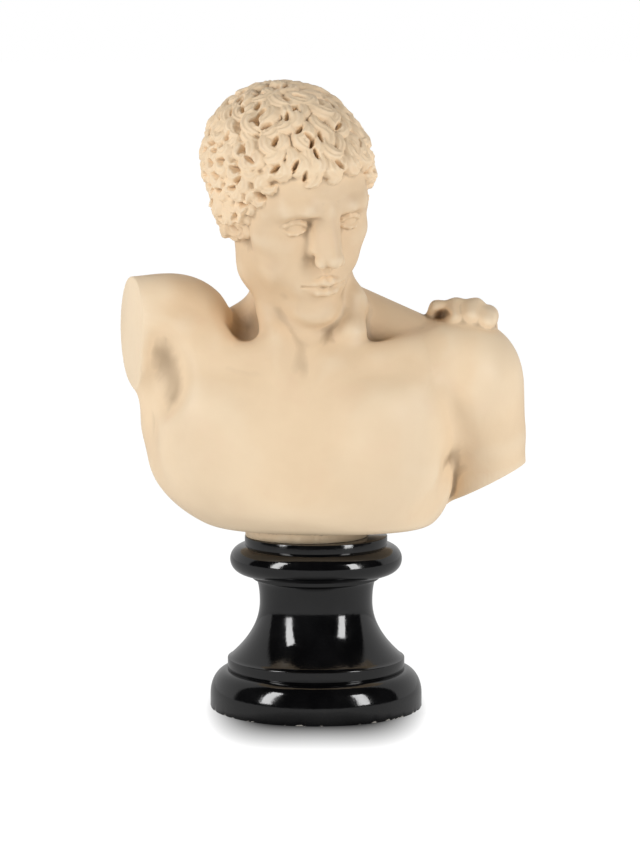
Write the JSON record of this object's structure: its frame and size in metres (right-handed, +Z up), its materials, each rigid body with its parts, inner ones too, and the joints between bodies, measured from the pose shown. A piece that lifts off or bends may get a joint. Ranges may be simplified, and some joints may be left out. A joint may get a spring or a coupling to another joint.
{
  "type": "cold cast marble bust",
  "caption": "Bust of a classical curly-haired youth in cast marble, cut off at the chest with one arm raised, on a turned black plinth.",
  "frame": {"origin": "middle of the plinth's flat underside, where the bust stands", "axes": "+Z up; the chest faces -Y; the raised arm's stump is on the -X side"},
  "size_m": [0.3515, 0.1919, 0.5413],
  "materials": {
    "bust": "matt, warm cream cast marble, slightly waxed",
    "plinth": "polished black lacquer"
  },
  "bodies": {
    "root": {"bust": "bust", "plinth": "plinth"}
  },
  "joints": []
}
